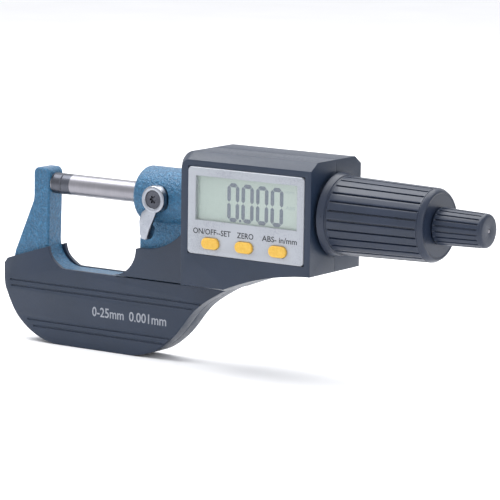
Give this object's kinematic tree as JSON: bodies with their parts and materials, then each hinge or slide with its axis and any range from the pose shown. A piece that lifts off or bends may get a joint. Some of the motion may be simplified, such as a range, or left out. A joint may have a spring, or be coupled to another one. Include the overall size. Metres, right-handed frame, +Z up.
{
  "type": "outside micrometer",
  "caption": "Outside micrometer with a blue cast C-frame, grey grips, digital display with push buttons, lock lever, fluted thimble and ratchet knob.",
  "frame": {"origin": "centre of the anvil's measuring face, on the spindle axis, where the two faces meet at rest", "axes": "+X along the spindle from the anvil towards the ratchet knob, -Y out of the display, +Z up from the grips to the top of the housing"},
  "size_m": [0.1701, 0.028, 0.0656],
  "materials": {
    "blue_hammer_paint": "hammer-textured enamel",
    "tungsten_carbide": "lapped carbide",
    "ground_steel": "ground",
    "bright_chrome": "satin chrome",
    "black_steel": "black oxide",
    "lock_brass": "turned",
    "grey_abs": "fine spark texture",
    "thimble_abs": "semi-matt",
    "silver_bezel": "satin silver",
    "display_window": "clear",
    "display_cell": "polariser film",
    "white_holder": "moulded",
    "pink_elastomer": "moulded",
    "board_green": "solder mask",
    "chip_black": "moulded",
    "yellow_keys": "moulded",
    "grey_silicone": "moulded",
    "cell_steel": "plated"
  },
  "bodies": {
    "base": {"frame": "blue_hammer_paint", "anvil": "ground_steel", "anvil_tip": "tungsten_carbide", "inner_nut": "ground_steel", "adjusting_nut": "ground_steel", "sleeve": "ground_steel", "encoder_stator": "board_green", "rotor_bracket": "white_holder", "front_grip": "grey_abs", "back_grip": "grey_abs", "grip_screws": "black_steel", "front_cover": "grey_abs", "back_cover": "grey_abs", "cover_screws": "black_steel", "bezel": "silver_bezel", "display_lens": "display_window", "display_glass": "display_cell", "display_holder": "white_holder", "connector_strips": "pink_elastomer", "circuit_board": "board_green", "board_chips": "chip_black", "switch_mat": "grey_silicone", "button_cell": "cell_steel", "contact_negative": "lock_brass", "contact_positive": "lock_brass"},
    "encoder_drive": {"encoder_rotor": "board_green", "rotor_hub": "lock_brass"},
    "spindle_set": {"spindle": "ground_steel", "spindle_tip": "tungsten_carbide", "thimble": "thimble_abs", "thimble_cone": "ground_steel", "thimble_end_plate": "thimble_abs", "ratchet_screw": "ground_steel", "ratchet_wheel": "ground_steel"},
    "knob_set": {"ratchet_knob": "thimble_abs", "ratchet_pawl": "ground_steel", "ratchet_spring": "ground_steel", "knob_pin": "ground_steel"},
    "lever_set": {"lock_lever": "bright_chrome", "lock_stem": "black_steel", "lock_screw": "black_steel"},
    "clamp_pin": {"lock_pin": "lock_brass"},
    "power_key": {"button_power": "yellow_keys"},
    "zero_key": {"button_zero": "yellow_keys"},
    "mode_key": {"button_mode": "yellow_keys"},
    "cap": {"battery_cap": "grey_abs"}
  },
  "joints": [
    {"name": "spindle_turn", "type": "hinge", "parent": "base", "child": "encoder_drive", "pos_m": [0.064, 0, 0], "axis": [1, 0, 0], "range_deg": [0, 18000]},
    {"name": "spindle_feed", "type": "slide", "parent": "encoder_drive", "child": "spindle_set", "axis": [1, 0, 0], "range_m": [0, 0.025]},
    {"name": "ratchet_slip", "type": "hinge", "parent": "spindle_set", "child": "knob_set", "pos_m": [0.141, 0, 0], "axis": [1, 0, 0], "continuous": true},
    {"name": "lock_turn", "type": "hinge", "parent": "base", "child": "lever_set", "pos_m": [0.0405, -0.008, 0], "axis": [0, -1, 0], "range_deg": [0, 45]},
    {"name": "lock_clamp", "type": "slide", "parent": "base", "child": "clamp_pin", "axis": [0, 1, 0], "range_m": [0, 0.00004]},
    {"name": "power_press", "type": "slide", "parent": "base", "child": "power_key", "axis": [0, 1, 0], "range_m": [0, 0.0006], "stiffness_N_per_m": 1200, "springref_m": -0.0004},
    {"name": "zero_press", "type": "slide", "parent": "base", "child": "zero_key", "axis": [0, 1, 0], "range_m": [0, 0.0006], "stiffness_N_per_m": 1200, "springref_m": -0.0004},
    {"name": "mode_press", "type": "slide", "parent": "base", "child": "mode_key", "axis": [0, 1, 0], "range_m": [0, 0.0006], "stiffness_N_per_m": 1200, "springref_m": -0.0004},
    {"name": "cap_turn", "type": "hinge", "parent": "base", "child": "cap", "pos_m": [0.075, 0.0126, 0], "axis": [0, -1, 0], "range_deg": [0, 60]}
  ],
  "couplings": [
    {"joint": "spindle_turn", "follows": "spindle_feed", "rad_per_m": 12566},
    {"joint": "lock_turn", "follows": "lock_clamp", "rad_per_m": 19615}
  ]
}
